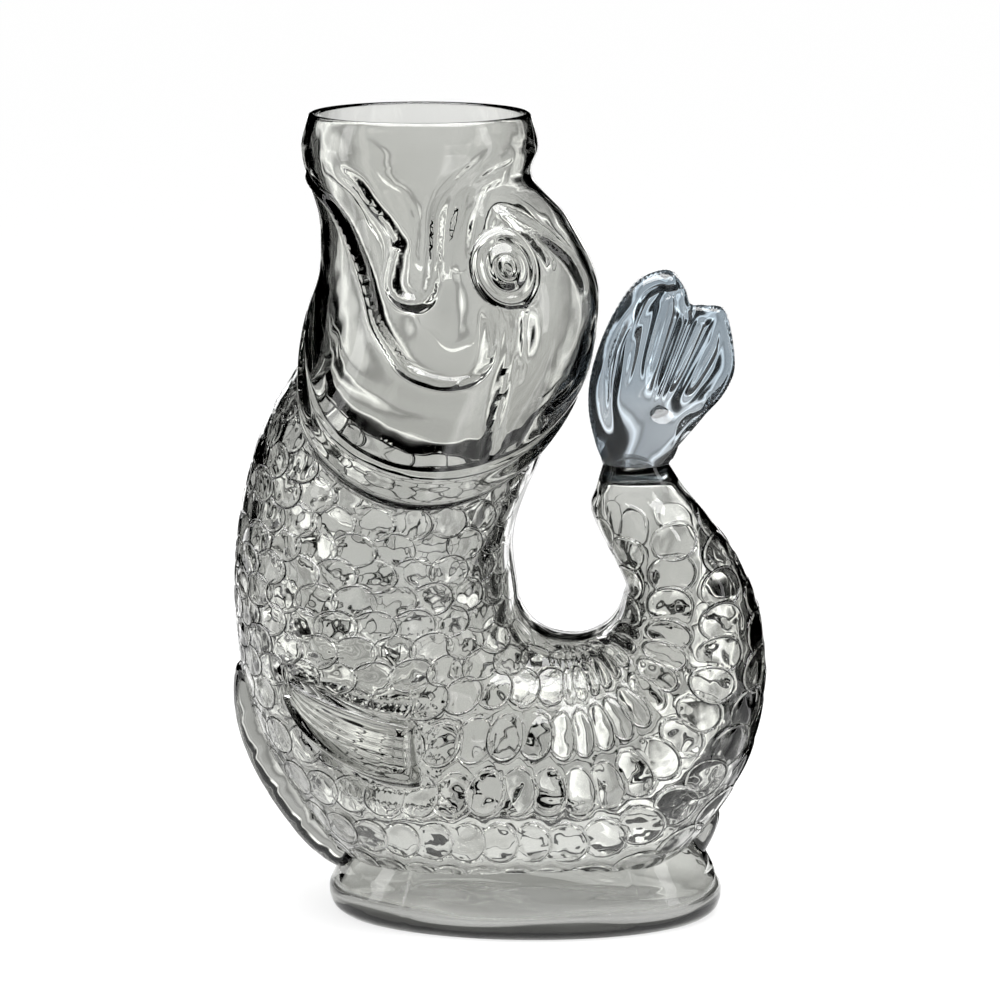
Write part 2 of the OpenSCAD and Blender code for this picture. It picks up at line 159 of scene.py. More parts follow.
def one_scale(tree, along, across, half, bead, side, rows_back):
    """Node for the height of the scale that lies side chains and rows_back scales from a place."""
    chain = add(tree, "ShaderNodeMath", {0: across}, operation="FLOOR")
    chain = add(tree, "ShaderNodeMath", {0: chain, 1: side}, operation="ADD")
    behind = add(tree, "ShaderNodeMath", {0: chain, 1: 2.0}, operation="MODULO")
    behind = add(tree, "ShaderNodeMath", {0: behind, 1: 0.5}, operation="MULTIPLY")
    run = add(tree, "ShaderNodeMath", {0: along, 1: behind}, operation="SUBTRACT")
    y = add(tree, "ShaderNodeMath", {0: run}, operation="FRACT")
    y = add(tree, "ShaderNodeMath", {0: y, 1: rows_back}, operation="ADD")
    x = add(tree, "ShaderNodeMath", {0: across, 1: chain}, operation="SUBTRACT")
    past_middle = add(tree, "ShaderNodeMath", {0: y, 1: SCALE_HALF_L}, operation="SUBTRACT")
    wide = add(tree, "ShaderNodeMath", {0: x, 1: half}, operation="DIVIDE")
    wide = add(tree, "ShaderNodeMath", {0: wide, 1: 2.0}, operation="POWER")
    long = add(tree, "ShaderNodeMath", {0: past_middle, 1: SCALE_HALF_L}, operation="DIVIDE")
    long = add(tree, "ShaderNodeMath", {0: long, 1: 2.0}, operation="POWER")
    far = add(tree, "ShaderNodeMath", {0: long, 1: wide}, operation="ADD")
    far = add(tree, "ShaderNodeMath", {0: far}, operation="SQRT")
    edge = add(tree, "ShaderNodeMapRange", {"Value": far, "From Min": 1.0, "From Max": SCALE_EDGE},
               interpolation_type="SMOOTHSTEP")
    dome = add(tree, "ShaderNodeMath", {0: far, 1: far}, operation="MULTIPLY")
    dome = add(tree, "ShaderNodeMath", {0: dome, 1: -SCALE_DOME, 2: SCALE_CROWN}, operation="MULTIPLY_ADD")
    top = add(tree, "ShaderNodeMath", {0: y, 1: SCALE_SLOPE, 2: dome}, operation="MULTIPLY_ADD")
    if bead:
        row_number = add(tree, "ShaderNodeMath", {0: run}, operation="FLOOR")
        row_number = add(tree, "ShaderNodeMath", {0: row_number, 1: rows_back}, operation="SUBTRACT")
        which = add(tree, "ShaderNodeCombineXYZ", {"X": chain, "Y": row_number})
        chance = add(tree, "ShaderNodeTexWhiteNoise", {"Vector": which}, noise_dimensions="2D")
        chance = add(tree, "ShaderNodeSeparateXYZ", {0: chance.outputs["Color"]})
        for number, way in ((0, x), (1, past_middle)):
            tilt = add(tree, "ShaderNodeMath", {0: chance.outputs[number], 1: 0.5}, operation="SUBTRACT")
            tilt = add(tree, "ShaderNodeMath", {0: tilt, 1: way}, operation="MULTIPLY")
            top = add(tree, "ShaderNodeMath", {0: tilt, 1: SCALE_TILT, 2: top}, operation="MULTIPLY_ADD")
        roll = add(tree, "ShaderNodeMath", {0: far, 1: BEAD_AT}, operation="SUBTRACT")
        roll = add(tree, "ShaderNodeMath", {0: roll, 1: BEAD_W}, operation="DIVIDE")
        roll = add(tree, "ShaderNodeMath", {0: roll, 1: 2.0}, operation="POWER")
        roll = add(tree, "ShaderNodeMath", {0: roll, 1: -1.0}, operation="MULTIPLY")
        roll = add(tree, "ShaderNodeMath", {0: roll}, operation="EXPONENT")
        top = add(tree, "ShaderNodeMath", {0: roll, 1: bead, 2: top}, operation="MULTIPLY_ADD")
    return add(tree, "ShaderNodeMath", {0: edge, 1: top}, operation="MULTIPLY")


def scale_height(tree, stored, bead=0.0):
    """Node for the height of the scales, 0 to about 1: the highest of the four that can reach a place."""
    highest = SCALE_GROUND
    for side, rows_back in ((0.0, 0.0), (0.0, 1.0), (1.0, 0.0), (1.0, 1.0)):
        scale = one_scale(tree, *[stored[name] for name in SCALE_DATA[:3]], bead, side, rows_back)
        highest = add(tree, "ShaderNodeMath", {0: scale, 1: highest}, operation="MAXIMUM")
    return add(tree, "ShaderNodeMath", {0: highest, 1: stored["scale_cover"]}, operation="MULTIPLY")


# Smoke glass: clear grey soda-lime glass, blown into a mould and fire-polished. It is darker where it is
# thick, a slow waviness and fine ripples on the scales break up what is seen through it, and the tint and the
# polish vary a little in patches.
SMOKE_TINT, SMOKE_DEPTH = "#8f908a", 95.0
SMOKE_PATCHES = ("#f2f2ee", "#fbfcfb")
GLASS_IOR, DULLEST, PATCH_LOW, PATCH_HIGH = 1.5, 0.035, 0.35, 0.75
WAVE_SIZE, RIPPLE_SIZE, PATCH_SIZE = 23.8095, 7.6923, 55.5556
WAVE_SHARE, RIPPLE_SHARE, RELIEF_H = 0.3, 0.35, 2.1


def linear(code):
    """Linear colour of an sRGB hex code."""
    c = np.array([int(code[i:i + 2], 16) for i in (1, 3, 5)]) / 255
    return (*np.where(c <= 0.04045, c / 12.92, ((c + 0.055) / 1.055) ** 2.4), 1.0)


smoke = bpy.data.materials.new("smoke_glass")
smoke.use_nodes = True
tree = smoke.node_tree
tree.nodes.clear()
place = add(tree, "ShaderNodeTexCoord").outputs["Object"]
noises = []
for size, detail in ((WAVE_SIZE, 2.0), (RIPPLE_SIZE, 1.0), (PATCH_SIZE, 3.0)):
    noise = add(tree, "ShaderNodeTexNoise", {"Vector": place, "Scale": 1 / (size * MM), "Detail": detail})
    noises.append(noise.outputs["Fac"])
waves, ripples, patches = noises
polish = add(tree, "ShaderNodeMapRange", {"Value": patches, "From Min": PATCH_LOW, "From Max": PATCH_HIGH,
                                          "To Min": 0.0, "To Max": DULLEST})
tint = add(tree, "ShaderNodeValToRGB", {"Fac": patches})
for stop, code in zip(tint.color_ramp.elements, SMOKE_PATCHES):
    stop.color = linear(code)
stored = {name: add(tree, "ShaderNodeAttribute", attribute_name=name).outputs["Fac"] for name in SCALE_DATA}
height = scale_height(tree, stored, SCALE_BEAD)
ripples = add(tree, "ShaderNodeMath", {0: ripples, 1: stored["scale_cover"]}, operation="MULTIPLY")
height = add(tree, "ShaderNodeMath", {0: ripples, 1: RIPPLE_SHARE, 2: height}, operation="MULTIPLY_ADD")
height = add(tree, "ShaderNodeMath", {0: waves, 1: WAVE_SHARE, 2: height}, operation="MULTIPLY_ADD")
bump = add(tree, "ShaderNodeBump", {"Height": height, "Strength": 1.0, "Distance": RELIEF_H * MM})
glass = add(tree, "ShaderNodeBsdfPrincipled", {"Base Color": tint, "Roughness": polish, "Normal": bump,
                                               "IOR": GLASS_IOR, "Transmission Weight": 1.0})
depth = add(tree, "ShaderNodeVolumeAbsorption", {"Color": linear(SMOKE_TINT), "Density": SMOKE_DEPTH})
add(tree, "ShaderNodeOutputMaterial", {"Surface": glass, "Volume": depth})

# Head: the smooth part of the blown glass, with a rolled lip and with mouth, cheeks, nostrils and brows
# pressed into it by the mould. It ends in the gill cover, whose rounded edge stands 2 mm over the scales.
AROUND, HEAD_ROWS, PATH_STEPS = 186, 104, 8
RIM_T, UNDER_RIM = 2.2, 8.0
FLANK_R, NEAR_FACE, FAR_FACE = 40.0, 1.35, 0.6
GROOVE_BACK, GROOVE_W = 6.5, 2.6
# Rim: from a place inside the hollow outward over the top, out and down in mm
RIM_ROUND = [(-RIM_T - 1, 0.9), (-0.95 * RIM_T, 0.55), (-0.75 * RIM_T, 0.15), (-0.5 * RIM_T, 0.0),
             (-0.22 * RIM_T, 0.15)]
RIM_ROLL = 0.6
# Gill cover's edge: steps past it and down in mm, drawn longer on the far flank than on the near one
GILL_EDGE = [(0.6, -0.2), (1.2, -0.65), (1.8, -1.2), (2.4, -1.8), (3.0, -2.4), (3.5, -3.0), (3.9, -3.6),
             (4.1, -4.8)]
FAR_EDGE, NEAR_EDGE, EDGE_TURN = 1.4, 0.75, 15.0
# Ridges of the face: width in mm, then places along the fish and round it, with the height there
FACE = {
    "lower_lip": (1.9, [(15, 126, 0.3), (18.6, 117, 0.9), (24.8, 114, 1.1), (30, 111, 1.1), (36, 108, 0.9)]),
    "mouth_corner": (1.8, [(36, 108, 0.9), (41.6, 111, 1.2), (47.8, 113.5, 1.4), (51.4, 111, 1.4),
                           (53.2, 105, 1.3), (51.4, 99, 1.2), (46, 95.5, 1.2), (39, 92.5, 1.2),
                           (29, 86.5, 1.1), (21, 75, 1), (16.8, 66, 0.9), (11.5, 57, 0.7), (8, 48, 0.3)]),
    "upper_lip": (1.7, [(44.3, 89, 0.6), (32, 80.5, 1), (23, 69, 1), (17.7, 60, 0.9), (13.3, 51, 0.7),
                        (10.6, 39, 0.3)]),
    "muzzle": (1.5, [(41.6, 83, 0.4), (31, 75, 0.8), (23, 63, 0.8), (18.6, 54, 0.7), (15.9, 42, 0.3)]),
    "nostril": (3.4, [(44, 88, 0.3), (49, 88.5, 0.9), (54, 88.5, 1.0), (59, 88, 0.7), (65, 87, 0.25),
                      (70, 86.5, 0)]),
    "cheek": (1.7, [(18.6, 162, 0.8), (25.7, 144, 1.5), (39, 132, 1.7), (53.2, 123, 1.7), (59.4, 119, 1.6),
                    (65.6, 111.5, 1.5), (71.8, 102.5, 1.5), (75, 92, 1.5), (76, 83, 1.5), (74.5, 75.5, 1.5),
                    (70, 72, 1.4), (62.9, 73, 1.2), (56, 75, 0.6)]),
    "brow": (1.9, [(28, 51, 0.6), (33.7, 42, 1.2), (40.8, 30, 1.2), (50, 24, 0.4)]),
    "lid": (1.4, [(31.9, 51, 0.5), (36.3, 45.5, 0.9), (41.6, 42, 0.8), (45, 43, 0.2)]),
    "under_eye": (1.7, [(54.9, 69, 0.4), (62.9, 66, 1.1), (78, 62.5, 1.3), (87, 59.5, 1.1), (98, 54, 0.3)]),
    "temple": (1.6, [(54.9, 63, 0.3), (65, 60, 0.8), (76, 57, 0.5)]),
    "dimple": (2.2, [(58, 58.5, -0.9), (63, 57.5, -1.2), (67.5, 57, -0.9)]),
    "lip_hollow": (3.0, [(57, 103, -0.5), (60, 101, -0.6)]),
}


def solid(name, points, faces):
    """Closed mesh object from points in mm, with its faces turned outward."""
    mesh = bpy.data.meshes.new(name)
    mesh.from_pydata((np.asarray(points) * MM).tolist(), [], faces)
    bm = bmesh.new()
    bm.from_mesh(mesh)
    if bm.calc_volume(signed=True) < 0:
        bmesh.ops.reverse_faces(bm, faces=bm.faces)
    bm.to_mesh(mesh)
    bm.free()
    piece = bpy.data.objects.new(name, mesh)
    bpy.context.scene.collection.objects.link(piece)
    return piece


def tube(name, rings):
    """Closed solid through rings of points, with a fan over each end."""
    m, n = rings.shape[:2]
    points = np.concatenate([rings.reshape(-1, 3), [rings[0].mean(0)], [rings[-1].mean(0)]])
    i, j = np.meshgrid(np.arange(m - 1), np.arange(n), indexing="ij")
    k = (j + 1) % n
    faces = np.stack([i * n + j, i * n + k, (i + 1) * n + k, (i + 1) * n + j], -1).reshape(-1, 4).tolist()
    last = (m - 1) * n
    faces += [[m * n, (c + 1) % n, c] for c in range(n)]
    faces += [[m * n + 1, last + c, last + (c + 1) % n] for c in range(n)]
    return solid(name, points, faces)


def ridge(s, angle, width, path):
    """Height in mm of a ridge along a path of places (s, angle, height) on the skin."""
    fine = through(path, np.linspace(0, len(path) - 1, PATH_STEPS * len(path)))
    fine[:, 1] = np.radians(fine[:, 1]) * FLANK_R
    p = np.stack(np.broadcast_arrays(s, np.radians(from_back(angle)) * FLANK_R), -1)[..., None, :]
    a, b = fine[:-1], fine[1:]
    run = (b - a)[:, :2]
    t = np.clip(((p - a[:, :2]) * run).sum(-1) / (run ** 2).sum(-1), 0, 1)
    d = np.sqrt(((a[:, :2] + run * t[..., None] - p) ** 2).sum(-1))
    near = d.argmin(-1)[..., None]
    high = np.take_along_axis(a[:, 2] + (b - a)[:, 2] * t, near, -1)[..., 0]
    return high * np.exp(-((np.take_along_axis(d, near, -1)[..., 0] / width) ** 2))


def face(s, angle):
    """Relief of the head in mm, shallower on the far flank, where the photograph shows less of it."""
    share = FAR_FACE + (NEAR_FACE - FAR_FACE) * (np.mod(angle, 360) < 180)
    return share * sum(ridge(s, angle, *FACE[name]) for name in FACE)


def head():
    """Outside of the head as a closed solid, from inside the rim to under the gill cover's edge."""
    angle = np.linspace(0, 360, AROUND, endpoint=False)
    t = np.linspace(0, GILL_S, HEAD_ROWS)[:, None]
    s = row(t, angle)
    lift = face(s, angle) + GILL_STEP * smooth(1 - (1 - t / GILL_S) / GILL_SWELL)
    # A groove sets the rolled edge off from the cover
    lift = lift * smooth(t / UNDER_RIM)
    lift = lift - GILL_GROOVE * np.exp(-(((t - GILL_S + GROOVE_BACK) / GROOVE_W) ** 2))
    flank = skin(s, angle, lift)
    flank[0, :, 2] -= RIM_ROLL
    top = [skin(0 * angle, angle, out) - [0, 0, down] for out, down in RIM_ROUND]
    line = row(GILL_S + 0 * angle, angle)
    slope = np.gradient(line, np.radians(angle) * FLANK_R)
    slope *= smooth(from_back(angle) / EDGE_TURN) * smooth((180 - from_back(angle)) / EDGE_TURN)
    near = smooth(0.5 + 2 * np.sin(np.radians(angle)))
    square = (FAR_EDGE + (NEAR_EDGE - FAR_EDGE) * near) / np.hypot(1, slope)
    gill = [skin(line + past * square, angle - np.degrees(past * slope * square / FLANK_R), lift[-1] + down)
            for past, down in GILL_EDGE]
    return tube("head", np.concatenate([np.array(top), flank, np.array(gill)]))


# Scaled body: the rest of the blown glass. Chains of scales cross the chest, run along under the belly and
# up the tail, where they fade out. The side fins' places and a band along the back stay bare.
BODY_ROWS = 256
SCALE_SUNK, GILL_SUNK, SUNK_FROM, SUNK_FADE = 0.5, 1.4, 3.0, 12.0
UNDER_GILL, GILL_BARE, GILL_FADE = 7.0, -6.0, 5.0
TAIL_BARE, TAIL_FADE, BACK_BARE, BACK_FADE = 9.0, 24.0, 10.0, 16.0
SIDE_FIN = [(158, 131), (167, 106), (178, 85), (186, 79), (204, 95), (202, 101), (189, 119), (174, 129)]


def within(s, angle, outline):
    """True inside an outline of places (s, angle) on either flank."""
    y = from_back(angle) + 0 * s
    hit = np.zeros(y.shape, bool)
    for (s0, y0), (s1, y1) in zip(outline, outline[1:] + outline[:1]):
        cross = (y0 > y) != (y1 > y)
        hit ^= cross & (s < s0 + (s1 - s0) * (y - y0) / ((y1 - y0) or 1))
    return hit


# The chains bend up round a middle on the flank; they lie closer on the chest than under the belly
CHAIN_X, CHAIN_Z, CHAIN_R = 11.5, 92.0, 50.0
SCALE_STEP, CHEST_GAP, BELLY_GAP, GAP_CHANGE = 9.2, 7.6, 13.4, 19.0
CHEST_HALF, BELLY_HALF = 0.76, 0.5
FLAT_SHARE, FIRST_COUNT = 0.8, 20


def chains(s, angle):
    """Counts of scales along a chain and of chains, and half a scale's width, on the skin laid flat."""
    q = through(SECTIONS, np.interp(s, SPINE, FINE))
    out = (math.pi / 2 - np.radians(from_back(angle))) * FLAT_SHARE
    x = (q[..., 0] + q[..., 2]) / 2 + (q[..., 0] - q[..., 2]) / 2 * out - CHAIN_X
    z = (q[..., 1] + q[..., 3]) / 2 + (q[..., 1] - q[..., 3]) / 2 * out - CHAIN_Z
    turn = np.arctan2(np.maximum(x, 0), np.maximum(-z, 1e-6))
    low = np.where(x < 0, -z, np.where(z < 0, np.hypot(x, z), x))
    run = np.where(x < 0, x, np.where(z < 0, turn * CHAIN_R, math.pi / 2 * CHAIN_R + z))
    gap = np.where(low > GAP_CHANGE, BELLY_GAP, CHEST_GAP)
    half = CHEST_HALF + (BELLY_HALF - CHEST_HALF) * smooth((low - GAP_CHANGE) / BELLY_GAP + 0.5)
    return run / SCALE_STEP + FIRST_COUNT, (low - GAP_CHANGE) / gap + FIRST_COUNT, half


def scaled_body():
    """Skin behind the gill cover as a closed solid, with the places of its scales stored on it."""
    angle = np.linspace(0, 360, AROUND, endpoint=False)
    t = np.linspace(GILL_S - UNDER_GILL, FISH_L, BODY_ROWS)[:, None]
    s = row(t, angle)
    sunk = SCALE_SUNK + GILL_SUNK * (1 - smooth((t - GILL_S - SUNK_FROM) / SUNK_FADE))
    body = tube("jug_body", skin(s, angle, 0 * s - sunk))
    bare = within(s, angle, SIDE_FIN).astype(float)
    for axis in (0, 1, 0, 1):
        bare = (np.roll(bare, 1, axis) + bare + np.roll(bare, -1, axis)) / 3
    cover = smooth((FISH_L - TAIL_BARE - t) / TAIL_FADE) * smooth((t - GILL_S - GILL_BARE) / GILL_FADE)
    cover = cover * (1 - bare) * smooth((from_back(angle) - BACK_BARE) / BACK_FADE)
    for name, grid in zip(SCALE_DATA, (*chains(s, angle), cover)):
        flat = np.ones(len(body.data.vertices), np.float32)
        flat[:grid.size] = grid.ravel()
        body.data.attributes.new(name, "FLOAT", "POINT").data.foreach_set("value", flat)
    return body


def relief_tree(name, data, shape):
    """Geometry tree that raises a skin by the relief that shape gives from the data stored on it."""
    tree = bpy.data.node_groups.new(name, "GeometryNodeTree")
    for socket, kind in (("Skin", "Geometry"), ("Relief height", "Float"), ("Glass", "Material")):
        tree.interface.new_socket(socket, in_out="INPUT", socket_type="NodeSocket" + kind)
    tree.interface.new_socket("Skin", in_out="OUTPUT", socket_type="NodeSocketGeometry")
    given = add(tree, "NodeGroupInput").outputs
    stored = {item: add(tree, "GeometryNodeInputNamedAttribute", {"Name": item}, data_type="FLOAT")
              for item in data}
    height = add(tree, "ShaderNodeMath", {0: shape(tree, stored), 1: given["Relief height"]},
                 operation="MULTIPLY")
    offset = add(tree, "ShaderNodeVectorMath", {0: add(tree, "GeometryNodeInputNormal"), "Scale": height},
                 operation="SCALE")
    raised = add(tree, "GeometryNodeSetPosition", {"Geometry": given["Skin"], "Offset": offset})
    real = add(tree, "GeometryNodeRealizeInstances", {"Geometry": raised})
    done = add(tree, "GeometryNodeSetMaterial", {"Geometry": real, "Material": given["Glass"]})
    add(tree, "NodeGroupOutput", {"Skin": done})
    return tree


def grow(piece, tree, height, glass):
    """Runs a relief tree on a piece and keeps the result as a plain mesh."""
    nodes = piece.modifiers.new(tree.name, "NODES")
    nodes.node_group = tree
    values = {"Relief height": height * MM, "Glass": glass}
    for item in tree.interface.items_tree:
        if item.in_out == "INPUT" and item.name in values:
            nodes[item.identifier] = values[item.name]
    bpy.context.view_layer.update()
    mesh = bpy.data.meshes.new_from_object(piece.evaluated_get(bpy.context.evaluated_depsgraph_get()))
    piece.modifiers.remove(nodes)
    piece.data = mesh
    return piece


body = grow(scaled_body(), relief_tree("fish_scales", SCALE_DATA, scale_height), SCALE_H, smoke)

# Foot: an oval hollow foot of the same glass, blown in one with the belly, with a flared rounded edge, a
# drawn-in waist and two seams of the mould on each long side. The hollow runs on into the fish.
FOOT_L, FOOT_W, FOOT_H, WAIST_IN, FLOOR_T = 118.0, 75.0, 15.5, 3.2, 4.0
FOOT_ROWS, FLOOR_ROWS, FOOT_AROUND, HOLLOW_AROUND = 32, 12, 320, 96
FOOT_CORNER, FOOT_KICK, FLOOR_MIDDLE = 5.0, 2.5, 1.0
FOOT_WAVE, FOOT_WAVES, WAVE_TWIST = 0.5, 5, 4.0
SEAM_X, SEAM_W, SEAM_H, SEAM_FROM, SEAM_FADE = 34.0, 0.7, 0.4, 1.0, 3.0
# The foot's side: height as a share of the waist's, and inset as a share of how far the waist is drawn in
FOOT_SIDE = [(0, 1.06), (0.12, 0.375), (0.32, 0.03), (0.5, 0), (0.75, 0.5), (1, 1), (1.75, 3)]


def foot(name, inset, bottom):
    """Closed solid of the foot, or of its hollow where a bottom is given."""
    side = through(FOOT_SIDE, np.linspace(0, len(FOOT_SIDE) - 1, FOOT_ROWS))
    side = np.stack([side[:, 0] * FOOT_H, np.maximum(side[:, 1], 0) * WAIST_IN + inset], -1)
    side = side[side[:, 0] >= bottom]
    if bottom > 0:
        below = np.clip((bottom + FOOT_CORNER - side[:, 0]) / FOOT_CORNER, 0, 1)
        side[:, 1] += FOOT_CORNER * (1 - np.sqrt(1 - below ** 2))
        # The floor rises a little to its middle
        out = np.linspace(1, 0, FLOOR_ROWS, endpoint=False)[::-1, None]
        middle = FOOT_W / 2 - FLOOR_MIDDLE
        floor = [bottom + FOOT_KICK * (1 - smooth(out)), middle + (side[0, 1] - middle) * out]
        side = np.concatenate([np.hstack(floor)[:-1], side])
    a = np.linspace(0, 2 * math.pi, HOLLOW_AROUND if bottom > 0 else FOOT_AROUND, endpoint=False)
    z, inward = side[:, :1] + 0 * a, side[:, 1:] + 0 * a
    if bottom > 0:
        z = z + FOOT_WAVE * np.sin(FOOT_WAVES * a + inward / WAVE_TWIST)
    else:
        seams = np.exp(-(((np.abs(FOOT_L / 2 * np.cos(a)) - SEAM_X) / SEAM_W) ** 2))
        inward = inward - SEAM_H * seams * smooth((z - SEAM_FROM) / SEAM_FADE)
    x, y = (FOOT_L / 2 - inward) * np.cos(a), (FOOT_W / 2 - inward) * np.sin(a)
    return tube(name, np.stack([x, y, z], -1))


# Inside: the hollow of the blown fish, an even wall in from the skin and nearer to it at the rim. It is cut
# out of the body, is open through the mouth and is rounded off before the tail's end.
INSIDE_AROUND, INSIDE_ROWS, END_ROWS = 84, 110, 12
RIM_FADE, END_START, END_FLAT = 16.0, 0.95, 0.6


def inside():
    """Hollow of the fish as a closed solid."""
    angle = np.linspace(0, 360, INSIDE_AROUND, endpoint=False)
    end, closing = FISH_L - TAIL_PLUG / 2, TAIL_PLUG / 2
    s = [np.linspace(0, end - closing, INSIDE_ROWS), end - closing * np.linspace(END_START, 0, END_ROWS) ** 2]
    s = np.concatenate(s)[:, None]
    rings = skin(s + 0 * angle, angle, 0 * angle - WALL + (WALL - RIM_T) * (1 - smooth(s / RIM_FADE)))
    middle = rings.mean(1, keepdims=True)
    close = np.clip((s - end + closing) / closing, 0, 1)[..., None]
    rings = middle + (rings - middle) * (END_FLAT + (1 - END_FLAT) * np.sqrt(1 - close ** 2))
    return tube("inside", np.concatenate([rings[:1] + [0, 0, WALL], rings]))


# Eyes: a raised ring round a low ball with a pupil on each flank, pressed out of the wall by the mould.
# The profile runs in from the ring's outside: distance from the middle and height over the skin.
EYE_S, EYE_ANGLE = 43.5, 64.5
EYE_PROFILE = [(12.6, -1.6), (11.6, -0.4), (10.5, 0.4), (9.3, 0.8), (8.2, 0.65), (7.2, 0.55), (6.0, 0.95),
               (4.8, 1.5), (3.9, 1.7), (3.3, 1.75), (2.6, 2.25), (1.5, 2.7), (0.2, 2.8)]
EYE_TALL, EYE_WIDE, EYE_ROWS, EYE_AROUND = 1.03, 0.88, 40, 48


def eye(name, side):
    """Eye on the near flank (side 1) or the far one (side -1), square to the skin there."""
    p, q, r = skin(EYE_S + np.array([0, 1, 0]), (EYE_ANGLE + np.array([0, 0, 2])) * side)
    along = (q - p) / np.linalg.norm(q - p)
    out = np.cross(r - p, q - p) * side
    out /= np.linalg.norm(out)
    across = np.cross(out, along)
    profile = through(EYE_PROFILE, np.linspace(0, len(EYE_PROFILE) - 1, EYE_ROWS))
    a = np.linspace(0, 2 * math.pi, EYE_AROUND, endpoint=False)[None, :, None]
    round_eye = EYE_TALL * np.cos(a) * along + EYE_WIDE * np.sin(a) * across
    return tube(name, profile[:, None, :1] * round_eye + profile[:, None, 1:] * out + p)


# Fins of the blown wall: flat rayed fins with rolled edges on both flanks, a long one along the belly and a
# short one in front of the tail. Places are shares of the fish's length and angles from its back.
SIDE_FIN_OUT, BELLY_FIN_OUT, VENT_FIN_OUT = 2.6, 8.3, 6.6
FIN_ROOT, FIN_TOP, FIN_LOW = np.array([0.456, 130]), np.array([0.521, 81]), np.array([0.572, 97])
SIDE_RAYS, SIDE_RAY_H, SIDE_SUNK, EDGE_SUNK = 9, 0.16, 0.6, 1.6
SIDE_OUTWARD, SIDE_DOWNWARD, ROOT_SHARE, ROOT_H = 50, 64, 0.12, 0.35
TOP_BOW, LOW_BOW, TOP_FADE, LOW_FADE, TIP_FADE = 0.014, 7, 0.14, 0.2, 0.06
# Rolls along the upper edge, the lower edge and the tip: place, width and height
DOWN_ROLLS, TIP_ROLL = [(0.12, 0.07, 0.9), (0.78, 0.09, 1.5)], (0.93, 0.045, 0.8)
BELLY_FIN, BELLY_RAYS = (0.455, 0.59), 7
VENT_FIN, VENT_RAYS = (0.69, 0.765), 4
KEEL_ALONG, KEEL_OVER, KEEL_HALF = 60, 17, 9.0
KEEL_RAY, KEEL_RAY_W, KEEL_LEAN = 0.16, 0.12, 0.05


def plate(name, over, under):
    """Closed solid between two grids of points, one above the other."""
    m, n = over.shape[:2]
    points = np.concatenate([over.reshape(-1, 3), under.reshape(-1, 3)])
    i, j = np.meshgrid(np.arange(m - 1), np.arange(n - 1), indexing="ij")
    top = np.stack([i * n + j, i * n + j + 1, (i + 1) * n + j + 1, (i + 1) * n + j], -1).reshape(-1, 4)
    faces = top.tolist() + (top[:, ::-1] + m * n).tolist()
    edge = list(range(n)) + [r * n + n - 1 for r in range(1, m)]
    edge += [(m - 1) * n + c for c in range(n - 2, -1, -1)] + [r * n for r in range(m - 2, 0, -1)]
    faces += [[b, a, a + m * n, b + m * n] for a, b in zip(edge, edge[1:] + edge[:1])]
    return solid(name, points, faces)


def side_fin(name, side):
    """Fan of rays on the near flank (side 1) or the far one (side -1); p runs outward and q downward."""
    p, q = np.linspace(0, 1, SIDE_OUTWARD)[:, None], np.linspace(0, 1, SIDE_DOWNWARD)[None, :]
    tip = FIN_TOP + (FIN_LOW - FIN_TOP) * q[..., None]
    at = FIN_ROOT + (tip - FIN_ROOT) * np.maximum(p, ROOT_SHARE)[..., None]
    bow = 4 * p * (1 - p)
    s = (at[..., 0] - TOP_BOW * bow * (1 - q)) * FISH_L
    angle = (at[..., 1] + LOW_BOW * bow * q) * side
    lift = SIDE_FIN_OUT * (ROOT_H + (1 - ROOT_H) * smooth(3 * p)) - SIDE_SUNK
    lift = lift + SIDE_RAY_H * np.abs(np.cos(math.pi * SIDE_RAYS * q))
    for way, rolls in ((q, DOWN_ROLLS), (p, [TIP_ROLL])):
        for at_share, width, height in rolls:
            lift = lift + height * np.exp(-(((way - at_share) / width) ** 2))
    inward = smooth(q / TOP_FADE) * smooth((1 - q) / LOW_FADE) * smooth((1 - p) / TIP_FADE)
    lift = lift * inward - EDGE_SUNK * (1 - inward)
    return plate(name, skin(s, angle, lift), skin(s, angle, np.full_like(s, -WALL / 2)))


def keel_fin(name, ends, out, rays):
    """Fin on the middle line under the fish, with rays pressed into its sides."""
    p, q = np.linspace(0, 1, KEEL_ALONG)[:, None], np.linspace(0, 1, KEEL_OVER)[None, :]
    s = (ends[0] + (ends[1] - ends[0]) * p + 0 * q) * FISH_L
    angle = 180 + KEEL_HALF * (2 * q - 1) + 0 * p
    crown = np.sqrt(np.maximum(0, 1 - (2 * q - 1) ** 2))
    off_ray = np.mod(rays * (p + KEEL_LEAN * crown), 1) - 0.5
    ray = np.exp(-(off_ray / KEEL_RAY_W) ** 2) * (1 - crown ** 6)
    lift = out * crown * (1 - KEEL_RAY * ray) * np.sqrt(np.maximum(0, np.sin(math.pi * p)))
    return plate(name, skin(s, angle, lift), skin(s, angle, np.full_like(s, -WALL / 2)))


# Blown body: the scaled skin, head, foot, eyes and fins joined to one wall of smoke glass, with the hollow of
# the fish and its foot cut out of it, so that the jug is open from the mouth down to the foot's floor.
BODY_CREASE = 55


def combine(piece, operation, tools):
    """Adds the tools to a piece, or cuts them out of it, and takes the tools away."""
    group = bpy.data.collections.new(operation)
    for tool in tools:
        group.objects.link(tool)
    cut = piece.modifiers.new(operation, "BOOLEAN")
    cut.operation, cut.solver = operation, "MANIFOLD"
    cut.operand_type, cut.collection = "COLLECTION", group
    bpy.context.view_layer.update()
    mesh = bpy.data.meshes.new_from_object(piece.evaluated_get(bpy.context.evaluated_depsgraph_get()))
    piece.modifiers.remove(cut)
    piece.data = mesh
    bpy.data.collections.remove(group)
    for tool in tools:
        bpy.data.objects.remove(tool)


